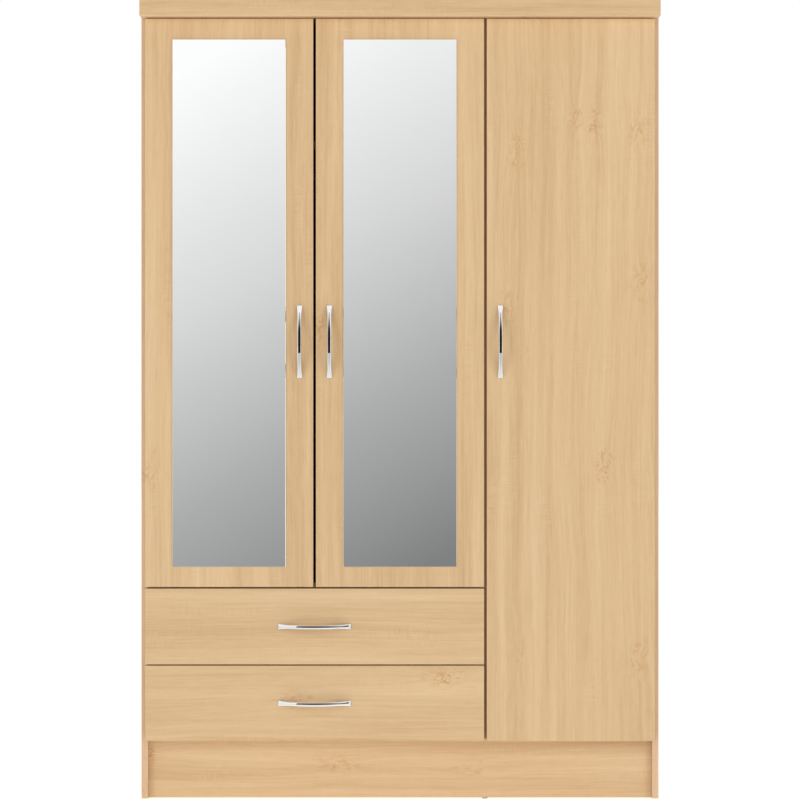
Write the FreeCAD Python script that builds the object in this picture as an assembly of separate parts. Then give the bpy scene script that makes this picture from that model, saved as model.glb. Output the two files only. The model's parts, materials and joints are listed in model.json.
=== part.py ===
import FreeCAD, Part
import math
import os

# Three-door wardrobe with two drawers.  Millimetres, +Z up, the front faces -Y.
# The origin is on the floor, midway across the width and the depth.

V = FreeCAD.Vector
os.makedirs("parts", exist_ok=True)

# ---- driving dimensions ---------------------------------------------------
WIDTH = 1186.0            # the top is flush with the side panels
DEPTH = 520.0             # back panel to the front of the handles
HEIGHT = 1830.0
BOARD = 15.0              # chipboard thickness
TOP_THICK = 39.0
TOP_FRONT_OVERHANG = 42.0  # ahead of the carcass front edges
BACK_THICK = 3.0          # hardboard back and drawer bottoms
HANDLE_REACH = 26.0
DOOR_BACK_GAP = 2.0       # carcass front edge to the back of the doors
SIDE_REVEAL = 10.0        # side panel edge left showing beside the doors
DOOR_GAP = 6.0
DOOR_TOP_GAP = 2.0
EDGE_ROUND = 1.0
GLIDE_HEIGHT = 3.0
BASE_BOARD_Z = 140.0      # underside of the bottom panel, hidden behind the fronts
PLINTH_SETBACK = 15.0
DECK_Z = 482.0            # underside of the fixed deck over the drawers
DOOR_LOW_Z = 489.5        # bottom of the two short doors
TALL_DOOR_LOW_Z = 137.5
DRAWER_Z = {"lower": (137.5, 310.0), "upper": (312.5, 486.0)}
DRAWER_BOX_Z = {"lower": 160.0, "upper": 330.0}
DRAWER_SIDE_HEIGHT = 120.0
DRAWER_BOARD = 12.0
DRAWER_LENGTH = 400.0
HAT_SHELF_Z = 1500.0
FIXED_SHELF_Z = 791.0
LOOSE_SHELF_Z = (461.0, 1121.0, 1451.0)
SHELF_SETBACK = 30.0
RAIL_Z = 1450.0
RAIL_Y = 20.0

# ---- derived planes -------------------------------------------------------
BODY_HALF = WIDTH / 2
INNER_HALF = BODY_HALF - BOARD
BACK_Y = DEPTH / 2
BOARD_BACK_Y = BACK_Y - BACK_THICK
FACE_Y = -DEPTH / 2 + HANDLE_REACH      # front face of doors and drawers
DOOR_BACK_Y = FACE_Y + BOARD
EDGE_Y = DOOR_BACK_Y + DOOR_BACK_GAP    # front edges of the carcass boards
TOP_Z = HEIGHT - TOP_THICK
DOOR_TOP_Z = TOP_Z - DOOR_TOP_GAP
BASE_TOP_Z = BASE_BOARD_Z + BOARD
DECK_TOP_Z = DECK_Z + BOARD
DOOR_WIDTH = (2 * (BODY_HALF - SIDE_REVEAL) - 2 * DOOR_GAP) / 3
LEFT_X0 = -BODY_HALF + SIDE_REVEAL
LEFT_X1 = LEFT_X0 + DOOR_WIDTH
MIDDLE_X0 = LEFT_X1 + DOOR_GAP
MIDDLE_X1 = MIDDLE_X0 + DOOR_WIDTH
RIGHT_X0 = MIDDLE_X1 + DOOR_GAP
RIGHT_X1 = RIGHT_X0 + DOOR_WIDTH
DIVIDER_X0 = (MIDDLE_X1 + RIGHT_X0) / 2 - BOARD / 2
DIVIDER_X1 = DIVIDER_X0 + BOARD

# ---- mirrors and handles --------------------------------------------------
MIRROR_SIDE_MARGIN = 62.5
MIRROR_TOP_MARGIN = 47.5
MIRROR_LOW_MARGIN = 45.5
MIRROR_THICK = 3.0
MIRROR_ARRIS = 0.5
HANDLE_LENGTH = 166.0
HANDLE_PITCH = 128.0
HANDLE_END_WIDTH = 12.6
HANDLE_MID_WIDTH = 8.6
HANDLE_END_HEIGHT = 3.0
HANDLE_INNER_HALF = 60.0
HANDLE_INNER_RISE = 20.5
HANDLE_INSET = 31.0
HANDLE_Z = 1050.0
HANDLE_SCREW_R = 2.0
HANDLE_SCREW_DEPTH = 8.0
HANDLE_HEAD_THICK = 1.6

# ---- concealed hinges, in a local frame -----------------------------------
# Local x runs inward from the outer face of the panel that carries the hinge,
# local y runs back from the carcass front edges, local z is centred on the hinge.
CUP_EDGE = 4.0            # door edge to the rim of the cup bore
CUP_R = 17.5
CUP_DEPTH = 12.5
CUP_WALL = 0.8
FLANGE_THICK = 1.0
FLANGE_R = 19.5
CUP_X = SIDE_REVEAL + CUP_EDGE + CUP_R
CUP_SCREW_X = CUP_X + 6.0
CUP_SCREW_Z = 24.0
CUP_SCREW_LENGTH = 11.0
WING_PAD = 7.0            # metal around each screw of the cup and the plate
WING_ROUND = 6.0
ARM_PIN = (42.8, -8.7)    # pivot at the end of the fixed arm
CUP_PIN = (23.0, -6.2)    # pivot in the cup
PIN_R = 1.2
PIN_CLEARANCE = 0.05
EYE_R = 2.4
LINK_HALF_THICK = 1.0
LINK_HALF_WIDTH = 5.5
CHEEK_IN = 5.8
CHEEK_OUT = 7.3
ARM_TIP_R = 3.0
ARM_SKIN = 1.4
ARM_BASE_X = BOARD + 3.2  # edges of the cheeks over the plate
ARM_BACK_X = BOARD + 12.2
ARM_REAR_Y = 66.0
ARM_LEAN_Y = 24.0         # ahead of this the arm leans over towards the pivot
ARM_NECK = (38.0, 12.0)
ARM_THROAT = (33.0, 8.5)
ARM_NOSE_Y = 6.0
ARM_INNER_LEAN_Y = 23.4   # the same bends on the inside of the sheet
ARM_INNER_NECK = (37.0, 10.7)
ARM_INNER_NOSE_Y = 5.2
ARM_JAW_Y = 3.0
ARM_SCREW_Y = 52.0
ARM_SCREW_LENGTH = 7.0
PLATE_THICK = 3.0
PLATE_FRONT_Y = 22.0
PLATE_HALF = 8.0
PLATE_SCREW_Y = 37.0
PLATE_SCREW_Z = 16.0
PLATE_SCREW_LENGTH = 12.0
PLATE_ROUND = 5.0
BLOCK_TOP = 10.5          # the raised block that the arm is screwed to
BLOCK_Y = (26.0, 62.0)
BLOCK_PLAY = 0.3
HINGE_END_INSET = 100.0

# ---- drawer runners, in a local frame -------------------------------------
# Local s runs from the carcass panel to the drawer side, z from the box bottom.
RUNNER_GAP = 12.7
STEEL = 1.2
CHANNEL_HEIGHT = 26.0
CHANNEL_REACH = 11.0
RAIL_FLANGE_Z = 27.5
RAIL_FLANGE_S = 3.0
RAIL_WRAP_WIDTH = 12.0
FRONT_ROLLER_R = 9.0
REAR_ROLLER_R = 11.2
ROLLER_CLEARANCE = 0.3
ROLLER_S = (2.6, 9.6)
DRAWER_SCREW_RISE = 19.0  # clears the groove of the drawer bottom
AXLE_R = 2.0
AXLE_END = 0.8            # axle beyond the roller
AXLE_ROOT = 0.6
FRONT_ROLLER_Y = -200.0
REAR_ROLLER_Y = 168.0
CHANNEL_Y = (-212.0, 185.0)
CHANNEL_TOP_FRONT = 27.0  # upper flange starts this far behind the channel front
RAIL_FRONT_GAP = 0.5      # drawer rail to the back of the drawer front
RAIL_TAIL = 10.0          # drawer rail behind its roller
CABINET_SCREW_Y = (-170.0, 0.0, 150.0)
RAIL_SCREW_Y = (-150.0, 120.0)
RUNNER_SCREW_LENGTH = 11.0
CABINET_HEAD = 0.8        # flat screw heads that the rollers and rails pass
RAIL_HEAD = 0.6
GROOVE_RISE = 10.0        # drawer bottom above the lower edge of the drawer sides
GROOVE_DEPTH = 6.0

# ---- small fittings -------------------------------------------------------
SCREW_R = 1.5
SCREW_HEAD_R = 3.2
CAM_R = 7.4
CAM_HOLE_R = 7.5
CAM_DEPTH = 12.5
CAM_INSET = 34.0
CAM_END = 60.0            # cams from the front and rear edges of the panels
CAM_RECESSED = 0.3
CAM_SLOT = (9.0, 1.6, 3.0)
PEG_R = 2.5
PEG_HOLE_DEPTH = 8.0
PEG_STEP = 32.0
PEG_REACH = 9.0
PEG_INSET = (40.0, 45.0)  # from the front of the shelf and from the back panel
SHELF_PLAY = 1.0          # loose shelf to the panel on each side
WALL_HOLE_R = 3.0
WALL_BRACKET_X = (LEFT_X0 + DIVIDER_X0) / 2
BRACKET_LEG = 40.0
BRACKET_HALF = 15.0
BRACKET_THICK = 2.0
BRACKET_SCREW_Y = 26.0
WALL_HOLE_DROP = 25.0
TUBE_HALF = (7.5, 15.0)   # oval tube, half width and half height
TUBE_WALL = 1.2
FLANGE_HALF = (14.0, 32.0)
COLLAR_HALF = (10.0, 17.5)
COLLAR_REACH = 14.0
FLANGE_SCREW_Z = 24.5
FLANGE_SCREW_LENGTH = 12.0
GLIDE_R = 6.5
GLIDE_INSET = 25.0
REAR_PLINTH_INSET = 30.0
BACK_EDGE_INSET = 2.0     # back panels short of the outer faces
BACK_SEAM = 0.5           # half the joint between the two back panels
BACK_DROP = 10.0          # back panels below the bottom panel


def box(x0, x1, y0, y1, z0, z1):
    return Part.makeBox(x1 - x0, y1 - y0, z1 - z0, V(x0, y0, z0))


def rod(radius, start, end):
    a = V(*start)
    b = V(*end)
    return Part.makeCylinder(radius, (b - a).Length, a, b - a)


def prism(points, z0, z1):
    """Closed polygon in x, y extruded from z0 to z1."""
    corners = [V(x, y, z0) for x, y in points]
    wire = Part.makePolygon(corners + corners[:1])
    return Part.Face(wire).extrude(V(0, 0, z1 - z0))


def rounded(shape, radius, pick):
    return shape.makeFillet(radius, [e for e in shape.Edges if pick(e)])


def at_y(y):
    return lambda e: all(abs(v.Point.y - y) < 0.01 for v in e.Vertexes)


def fused(pieces):
    shape = pieces[0]
    for piece in pieces[1:]:
        shape = shape.fuse(piece)
    return shape.removeSplitter()


def drilled(shape, tools):
    return shape.cut(Part.makeCompound(tools)) if tools else shape


def save(name, pieces):
    shape = pieces[0] if len(pieces) == 1 else Part.makeCompound(pieces)
    shape.exportStep("parts/" + name + ".step")


def wood_screw(head_centre, direction, length, head_thick=1.4):
    """Pan-head screw whose head sits on a surface at head_centre and whose shank goes in."""
    c = V(*head_centre)
    d = V(*direction)
    head = Part.makeCylinder(SCREW_HEAD_R, head_thick, c, d * -1)
    head = rounded(head, head_thick * 0.5, lambda e: abs((e.CenterOfMass - c).Length - head_thick) < 0.01)
    shank = Part.makeCylinder(SCREW_R, length, c, d)
    return head.fuse(shank).removeSplitter(), shank


# ---- hinges ---------------------------------------------------------------
def cup_solid():
    back = -DOOR_BACK_GAP
    lip = back + FLANGE_THICK
    floor = back - CUP_DEPTH + CUP_WALL
    body = rod(CUP_R, (CUP_X, back - CUP_DEPTH, 0), (CUP_X, lip, 0))
    disc = rod(FLANGE_R, (CUP_X, back, 0), (CUP_X, lip, 0))
    wing_half = CUP_SCREW_Z + WING_PAD
    wing = box(CUP_SCREW_X - WING_PAD, CUP_SCREW_X + WING_PAD, back, lip, -wing_half, wing_half)
    wing = rounded(wing, WING_ROUND, lambda e: abs(e.Length - FLANGE_THICK) < 0.01)
    shape = fused([body, disc, wing])
    shape = shape.cut(rod(CUP_R - CUP_WALL, (CUP_X, floor, 0), (CUP_X, lip + 1, 0)))
    rim_x = SIDE_REVEAL + CUP_EDGE
    shape = shape.cut(box(rim_x - FLANGE_R, rim_x, back, lip, -wing_half, wing_half))
    for side in (-1, 1):
        z = side * CUP_SCREW_Z
        shape = shape.cut(rod(SCREW_R, (CUP_SCREW_X, back - 1, z), (CUP_SCREW_X, lip + 1, z)))
    pin = rod(PIN_R, (CUP_PIN[0], CUP_PIN[1], -CUP_R), (CUP_PIN[0], CUP_PIN[1], CUP_R))
    return shape.fuse(pin.common(body))


def link_solid():
    ax, ay = ARM_PIN
    cx, cy = CUP_PIN
    length = math.hypot(ax - cx, ay - cy)
    nx = -(ay - cy) / length * LINK_HALF_THICK
    ny = (ax - cx) / length * LINK_HALF_THICK
    w = LINK_HALF_WIDTH
    strip = prism([(ax + nx, ay + ny), (cx + nx, cy + ny), (cx - nx, cy - ny), (ax - nx, ay - ny)], -w, w)
    eyes = [rod(EYE_R, (x, y, -w), (x, y, w)) for x, y in (ARM_PIN, CUP_PIN)]
    bores = [rod(PIN_R + PIN_CLEARANCE, (x, y, -w - 1), (x, y, w + 1)) for x, y in (ARM_PIN, CUP_PIN)]
    return drilled(fused([strip] + eyes), bores)


def arm_web():
    """Outline of the top of the arm, one sheet thick."""
    nose_x = ARM_PIN[0] + ARM_TIP_R
    outside = [(ARM_BACK_X, ARM_REAR_Y), (ARM_BACK_X, ARM_LEAN_Y), ARM_NECK,
               (nose_x, ARM_NOSE_Y), (nose_x, 0)]
    inside = [(nose_x - ARM_SKIN, 0), (nose_x - ARM_SKIN, ARM_INNER_NOSE_Y), ARM_INNER_NECK,
              (ARM_BACK_X - ARM_SKIN, ARM_INNER_LEAN_Y), (ARM_BACK_X - ARM_SKIN, ARM_REAR_Y)]
    return outside + inside


def arm_cheek():
    """Outline of each side of the arm."""
    ax, ay = ARM_PIN
    return [(ARM_BASE_X, ARM_REAR_Y), (ARM_BACK_X, ARM_REAR_Y), (ARM_BACK_X, ARM_LEAN_Y), ARM_NECK,
            (ax + ARM_TIP_R, ARM_NOSE_Y), (ax + ARM_TIP_R, ay), (ax - ARM_TIP_R, ay),
            (ax - ARM_TIP_R, ARM_JAW_Y), ARM_THROAT, (ARM_BASE_X, PLATE_FRONT_Y - 2)]


def arm_solid():
    ax, ay = ARM_PIN
    pieces = [prism(arm_web(), -CHEEK_OUT, CHEEK_OUT)]
    for z0, z1 in ((-CHEEK_OUT, -CHEEK_IN), (CHEEK_IN, CHEEK_OUT)):
        pieces.append(prism(arm_cheek(), z0, z1))
        pieces.append(rod(ARM_TIP_R, (ax, ay, z0), (ax, ay, z1)))
    pieces.append(rod(PIN_R, (ax, ay, -CHEEK_OUT), (ax, ay, CHEEK_OUT)))
    screw_hole = rod(SCREW_R, (ARM_BACK_X - 2 * ARM_SKIN, ARM_SCREW_Y, 0), (ARM_BACK_X + 1, ARM_SCREW_Y, 0))
    return fused(pieces).cut(screw_hole)


def plate_solid():
    face = BOARD + PLATE_THICK
    wing_half = PLATE_SCREW_Z + WING_PAD
    block_half = CHEEK_IN - BLOCK_PLAY
    base = box(BOARD, face, PLATE_FRONT_Y, ARM_REAR_Y, -PLATE_HALF, PLATE_HALF)
    wings = box(BOARD, face, PLATE_SCREW_Y - WING_PAD, PLATE_SCREW_Y + WING_PAD, -wing_half, wing_half)
    wings = rounded(wings, PLATE_ROUND, lambda e: abs(e.Length - PLATE_THICK) < 0.01)
    block = box(face, BOARD + BLOCK_TOP, BLOCK_Y[0], BLOCK_Y[1], -block_half, block_half)
    holes = [rod(SCREW_R, (face + 1, ARM_SCREW_Y, 0), (BOARD + BLOCK_TOP + 1, ARM_SCREW_Y, 0))]
    for side in (-1, 1):
        z = side * PLATE_SCREW_Z
        holes.append(rod(SCREW_R, (BOARD - 1, PLATE_SCREW_Y, z), (face + 1, PLATE_SCREW_Y, z)))
    return drilled(fused([base, wings, block]), holes)


def arm_screw():
    return wood_screw((ARM_BACK_X, ARM_SCREW_Y, 0), (-1, 0, 0), ARM_SCREW_LENGTH)


def plate_screws():
    face = BOARD + PLATE_THICK
    return [wood_screw((face, PLATE_SCREW_Y, s * PLATE_SCREW_Z), (-1, 0, 0), PLATE_SCREW_LENGTH)
            for s in (-1, 1)]


def cup_screws():
    face = FLANGE_THICK - DOOR_BACK_GAP
    return [wood_screw((CUP_SCREW_X, face, s * CUP_SCREW_Z), (0, -1, 0), CUP_SCREW_LENGTH, FLANGE_THICK)
            for s in (-1, 1)]


def placed(shape, base_x, flip, z):
    """Move a hinge shape from its local frame to the wardrobe."""
    copy = shape.mirror(V(0, 0, 0), V(1, 0, 0)) if flip else shape.copy()
    copy.translate(V(base_x, EDGE_Y, z))
    return copy


def spread(z0, z1, count):
    low = z0 + HINGE_END_INSET
    step = (z1 - z0 - 2 * HINGE_END_INSET) / (count - 1)
    return [low + i * step for i in range(count)]


HINGES = {
    "door_left": (-BODY_HALF, False, spread(DOOR_LOW_Z, DOOR_TOP_Z, 3)),
    "door_middle": (DIVIDER_X1, True, spread(DOOR_LOW_Z, DOOR_TOP_Z, 3)),
    "door_right": (BODY_HALF, True, spread(TALL_DOOR_LOW_Z, DOOR_TOP_Z, 4)),
}


# ---- handle ---------------------------------------------------------------
def arc_edge(a, b, c):
    return Part.Arc(V(*a), V(*b), V(*c)).toShape()


def line_edge(a, b):
    return Part.makeLine(V(*a), V(*b))


def bow_handle():
    """Bow along local z, standing on y = 0 and rising towards -y."""
    h = HANDLE_LENGTH / 2
    e = HANDLE_END_HEIGHT
    i = HANDLE_INNER_HALF
    w = HANDLE_END_WIDTH / 2
    m = HANDLE_MID_WIDTH / 2
    side = Part.Wire([
        arc_edge((-w, -e, -h), (-w, -HANDLE_REACH, 0), (-w, -e, h)),
        line_edge((-w, -e, h), (-w, 0, h)),
        line_edge((-w, 0, h), (-w, 0, i)),
        arc_edge((-w, 0, i), (-w, -HANDLE_INNER_RISE, 0), (-w, 0, -i)),
        line_edge((-w, 0, -i), (-w, 0, -h)),
        line_edge((-w, 0, -h), (-w, -e, -h)),
    ])
    arch = Part.Face(side).extrude(V(2 * w, 0, 0))
    plan = Part.Wire([
        line_edge((-w, 1, -h), (w, 1, -h)),
        arc_edge((w, 1, -h), (m, 1, 0), (w, 1, h)),
        line_edge((w, 1, h), (-w, 1, h)),
        arc_edge((-w, 1, h), (-m, 1, 0), (-w, 1, -h)),
    ])
    waist = Part.Face(plan).extrude(V(0, -HANDLE_REACH - 2, 0))
    shape = arch.common(waist)
    holes = []
    for s in (-1, 1):
        z = s * HANDLE_PITCH / 2
        holes.append(rod(HANDLE_SCREW_R, (0, 1, z), (0, -HANDLE_SCREW_DEPTH, z)))
    return drilled(shape, holes)


def handle_screws():
    screws = []
    for s in (-1, 1):
        z = s * HANDLE_PITCH / 2
        shank = rod(HANDLE_SCREW_R, (0, -HANDLE_SCREW_DEPTH, z), (0, BOARD, z))
        head = rod(2 * HANDLE_SCREW_R, (0, BOARD, z), (0, BOARD + HANDLE_HEAD_THICK, z))
        screws.append((head.fuse(shank).removeSplitter(), shank))
    return screws


def put_handle(shape, x, z, turned):
    copy = shape.copy()
    if turned:
        copy.rotate(V(0, 0, 0), V(0, 1, 0), 90)
    copy.translate(V(x, FACE_Y, z))
    return copy


# ---- fronts ---------------------------------------------------------------
def front_board(x0, x1, z0, z1):
    board = box(x0, x1, FACE_Y, DOOR_BACK_Y, z0, z1)
    return rounded(board, EDGE_ROUND, at_y(FACE_Y))


def build_door(name, x0, x1, z0, handle_x, mirrored_glass):
    base_x, flip, levels = HINGES[name]
    panel = front_board(x0, x1, z0, DOOR_TOP_Z)
    cups = []
    links = []
    screws = []
    bores = []
    bore = rod(CUP_R, (CUP_X, -DOOR_BACK_GAP - CUP_DEPTH, 0), (CUP_X, -DOOR_BACK_GAP + 1, 0))
    for z in levels:
        cups.append(placed(cup_solid(), base_x, flip, z))
        links.append(placed(link_solid(), base_x, flip, z))
        bores.append(placed(bore, base_x, flip, z))
        for screw, shank in cup_screws():
            screws.append(placed(screw, base_x, flip, z))
            bores.append(placed(shank, base_x, flip, z))
    for screw, shank in handle_screws():
        screws.append(put_handle(screw, handle_x, HANDLE_Z, False))
        bores.append(put_handle(shank, handle_x, HANDLE_Z, False))
    save(name + "_panel", [drilled(panel, bores)])
    save(name + "_handle", [put_handle(bow_handle(), handle_x, HANDLE_Z, False)])
    save(name + "_hinge_cups", cups)
    save(name + "_hinge_links", links)
    save(name + "_screws", screws)
    if mirrored_glass:
        glass = box(x0 + MIRROR_SIDE_MARGIN, x1 - MIRROR_SIDE_MARGIN, FACE_Y - MIRROR_THICK, FACE_Y,
                    z0 + MIRROR_LOW_MARGIN, DOOR_TOP_Z - MIRROR_TOP_MARGIN)
        glass = glass.makeChamfer(MIRROR_ARRIS, [e for e in glass.Edges if at_y(FACE_Y - MIRROR_THICK)(e)])
        save(name + "_mirror", [glass])


# ---- drawer runners -------------------------------------------------------
def runner_x(side, s):
    """World x at distance s from the carcass panel on the left (-1) or right (+1)."""
    return -INNER_HALF + s if side < 0 else DIVIDER_X0 - s


def runner_box(side, s0, s1, y0, y1, z0, z1):
    a = runner_x(side, s0)
    b = runner_x(side, s1)
    return box(min(a, b), max(a, b), y0, y1, z0, z1)


def runner_rod(side, radius, s0, s1, y, z):
    return rod(radius, (runner_x(side, s0), y, z), (runner_x(side, s1), y, z))


def front_roller_z(base):
    return base + RAIL_FLANGE_Z - ROLLER_CLEARANCE - FRONT_ROLLER_R


def rear_roller_z(base):
    return base + STEEL + ROLLER_CLEARANCE + REAR_ROLLER_R


def cabinet_runner(side, base):
    y0, y1 = CHANNEL_Y
    web = runner_box(side, 0, STEEL, y0, y1, base, base + CHANNEL_HEIGHT)
    low = runner_box(side, 0, CHANNEL_REACH, y0, y1, base, base + STEEL)
    high = runner_box(side, 0, CHANNEL_REACH, y0 + CHANNEL_TOP_FRONT, y1,
                      base + CHANNEL_HEIGHT - STEEL, base + CHANNEL_HEIGHT)
    axle = runner_rod(side, AXLE_R, 0, ROLLER_S[1] + AXLE_END, FRONT_ROLLER_Y, front_roller_z(base))
    return fused([web, low, high, axle])


def drawer_runner(side, base):
    y0 = DOOR_BACK_Y + RAIL_FRONT_GAP
    y1 = REAR_ROLLER_Y + RAIL_TAIL
    flange = base + RAIL_FLANGE_Z
    web = runner_box(side, RUNNER_GAP - STEEL, RUNNER_GAP, y0, y1, base - STEEL, flange + STEEL)
    top = runner_box(side, RAIL_FLANGE_S, RUNNER_GAP, y0, y1, flange, flange + STEEL)
    wrap = runner_box(side, RUNNER_GAP - STEEL, RUNNER_GAP + RAIL_WRAP_WIDTH, y0, y1, base - STEEL, base)
    axle = runner_rod(side, AXLE_R, ROLLER_S[0] - AXLE_ROOT, RUNNER_GAP, REAR_ROLLER_Y, rear_roller_z(base))
    return fused([web, top, wrap, axle])


def roller(side, radius, y, z):
    body = runner_rod(side, radius, ROLLER_S[0], ROLLER_S[1], y, z)
    bore = runner_rod(side, AXLE_R + PIN_CLEARANCE, ROLLER_S[0] - 1, ROLLER_S[1] + 1, y, z)
    return body.cut(bore)


def cabinet_runner_screws(side, base):
    x = runner_x(side, STEEL)
    z = base + CHANNEL_HEIGHT / 2
    return [wood_screw((x, y, z), (side, 0, 0), RUNNER_SCREW_LENGTH, CABINET_HEAD) for y in CABINET_SCREW_Y]


def drawer_runner_screws(side, base):
    x = runner_x(side, RUNNER_GAP - STEEL)
    z = base + DRAWER_SCREW_RISE
    return [wood_screw((x, y, z), (-side, 0, 0), RUNNER_SCREW_LENGTH, RAIL_HEAD) for y in RAIL_SCREW_Y]


# ---- drawers --------------------------------------------------------------
def drawer_bottom(x0, x1, rear, base):
    low = base + GROOVE_RISE
    inset = DRAWER_BOARD - GROOVE_DEPTH
    return box(x0 + inset, x1 - inset, DOOR_BACK_Y - GROOVE_DEPTH, rear, low, low + BACK_THICK)


def build_drawer_box(label, base, screws):
    """Sides, back and bottom of one drawer, with its rails; gives the bottom back."""
    x0 = runner_x(-1, RUNNER_GAP)
    x1 = runner_x(1, RUNNER_GAP)
    rear = DOOR_BACK_Y + DRAWER_LENGTH
    top = base + DRAWER_SIDE_HEIGHT
    bottom = drawer_bottom(x0, x1, rear, base)
    pairs = [pair for side in (-1, 1) for pair in drawer_runner_screws(side, base)]
    screws += [screw for screw, _ in pairs]
    shanks = [shank for _, shank in pairs]
    left = box(x0, x0 + DRAWER_BOARD, DOOR_BACK_Y, rear, base, top)
    right = box(x1 - DRAWER_BOARD, x1, DOOR_BACK_Y, rear, base, top)
    back = box(x0 + DRAWER_BOARD, x1 - DRAWER_BOARD, rear - DRAWER_BOARD, rear,
               base + GROOVE_RISE + BACK_THICK, top)
    save(label + "_side_left", [drilled(left, [bottom] + shanks)])
    save(label + "_side_right", [drilled(right, [bottom] + shanks)])
    save(label + "_back", [back])
    save(label + "_bottom", [bottom])
    save(label + "_runners", [drilled(drawer_runner(side, base), shanks) for side in (-1, 1)])
    return bottom


def build_drawer(name):
    label = "drawer_" + name
    z0, z1 = DRAWER_Z[name]
    base = DRAWER_BOX_Z[name]
    centre_x = (LEFT_X0 + MIDDLE_X1) / 2
    centre_z = (z0 + z1) / 2
    screws = []
    bottom = build_drawer_box(label, base, screws)
    bores = []
    for screw, shank in handle_screws():
        screws.append(put_handle(screw, centre_x, centre_z, True))
        bores.append(put_handle(shank, centre_x, centre_z, True))
    front = front_board(LEFT_X0, MIDDLE_X1, z0, z1)
    save(label + "_front", [drilled(front, [bottom] + bores)])
    save(label + "_handle", [put_handle(bow_handle(), centre_x, centre_z, True)])
    save(label + "_screws", screws)
    front_z = front_roller_z(base)
    rear_z = rear_roller_z(base)
    save("rollers_front_" + name, [roller(s, FRONT_ROLLER_R, FRONT_ROLLER_Y, front_z) for s in (-1, 1)])
    save("rollers_rear_" + name, [roller(s, REAR_ROLLER_R, REAR_ROLLER_Y, rear_z) for s in (-1, 1)])


# ---- carcass fittings -----------------------------------------------------
# Each function adds the holes that its fittings need to holes[panel] and its screws to screws.
def cam(centre, direction, holes):
    """A cam disc in its recess: direction points out of the face that it is let into."""
    c = V(*centre)
    d = V(*direction)
    holes.append(Part.makeCylinder(CAM_HOLE_R, CAM_DEPTH, c, d * -1))
    disc = Part.makeCylinder(CAM_R, CAM_DEPTH - CAM_RECESSED, c - d * CAM_DEPTH, d)
    long, wide, deep = CAM_SLOT
    slot = Part.makeBox(long, wide, deep, V(-long / 2, -wide / 2, -deep / 2))
    cross = slot.fuse(Part.makeBox(wide, long, deep, V(-wide / 2, -long / 2, -deep / 2)))
    cross.Placement = FreeCAD.Placement(c - d * CAM_RECESSED, FreeCAD.Rotation(V(0, 0, 1), d))
    return disc.cut(cross)


def cam_row(x0, x1, z, y_front, holes):
    """Four cams in the underside of a board that runs from x0 to x1."""
    depths = (y_front + CAM_END, BOARD_BACK_Y - CAM_END)
    return [cam((x, y, z), (0, 0, -1), holes) for x in (x0 + CAM_INSET, x1 - CAM_INSET) for y in depths]


def cam_column(x, direction, holes):
    """Two cams at the top of a standing panel."""
    z = TOP_Z - CAM_INSET
    return [cam((x, y, z), (direction, 0, 0), holes) for y in (EDGE_Y + CAM_END, BOARD_BACK_Y - CAM_END)]


def build_cams(holes):
    shelf_front = EDGE_Y + SHELF_SETBACK
    cams = cam_row(-INNER_HALF, INNER_HALF, BASE_BOARD_Z, EDGE_Y, holes["base"])
    cams += cam_row(-INNER_HALF, DIVIDER_X0, DECK_Z, EDGE_Y, holes["deck"])
    cams += cam_row(-INNER_HALF, DIVIDER_X0, HAT_SHELF_Z, shelf_front, holes["hat"])
    cams += cam_row(DIVIDER_X1, INNER_HALF, FIXED_SHELF_Z, shelf_front, holes["fixed"])
    cams += cam_column(-INNER_HALF, 1, holes["left"])
    cams += cam_column(INNER_HALF, -1, holes["right"])
    cams += cam_column(DIVIDER_X0, -1, holes["divider"])
    save("cam_locks", cams)


def build_hinge_bases(holes, screws):
    plates = []
    arms = []
    panel_of = {"door_left": "left", "door_middle": "divider", "door_right": "right"}
    for name, (base_x, flip, levels) in HINGES.items():
        for z in levels:
            plates.append(placed(plate_solid(), base_x, flip, z))
            arms.append(placed(arm_solid(), base_x, flip, z))
            screws.append(placed(arm_screw()[0], base_x, flip, z))
            for screw, shank in plate_screws():
                screws.append(placed(screw, base_x, flip, z))
                holes[panel_of[name]].append(placed(shank, base_x, flip, z))
    save("hinge_plates", plates)
    save("hinge_arms", arms)


def build_cabinet_runners(holes, screws):
    runners = []
    for base in DRAWER_BOX_Z.values():
        for side, panel in ((-1, "left"), (1, "divider")):
            pairs = cabinet_runner_screws(side, base)
            shanks = [shank for _, shank in pairs]
            screws += [screw for screw, _ in pairs]
            holes[panel] += shanks
            runners.append(drilled(cabinet_runner(side, base), shanks))
    save("cabinet_runners", runners)


def shelf_peg(face_x, into, y, z):
    """A peg in a panel face at face_x; into is the direction from the room into the panel."""
    shank = rod(PEG_R, (face_x, y, z), (face_x + into * PEG_HOLE_DEPTH, y, z))
    spoon = rod(PEG_R + 1, (face_x, y, z), (face_x - into * PEG_REACH, y, z))
    flat = box(-WIDTH, WIDTH, y - PEG_REACH, y + PEG_REACH, z + PEG_R, z + PEG_R + PEG_REACH)
    return shank.fuse(spoon.cut(flat)).removeSplitter(), shank


def build_pegs(holes):
    """Four pegs under each loose shelf, with a spare hole above and below each."""
    pegs = []
    depths = (EDGE_Y + SHELF_SETBACK + PEG_INSET[0], BOARD_BACK_Y - PEG_INSET[1])
    for shelf_z in LOOSE_SHELF_Z:
        for y in depths:
            for face_x, into, panel in ((INNER_HALF, 1, "right"), (DIVIDER_X1, -1, "divider")):
                peg, shank = shelf_peg(face_x, into, y, shelf_z - PEG_R)
                pegs.append(peg)
                for step in (-PEG_STEP, 0, PEG_STEP):
                    hole = shank.copy()
                    hole.translate(V(0, 0, step))
                    holes[panel].append(hole)
    save("shelf_pegs", pegs)


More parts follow.
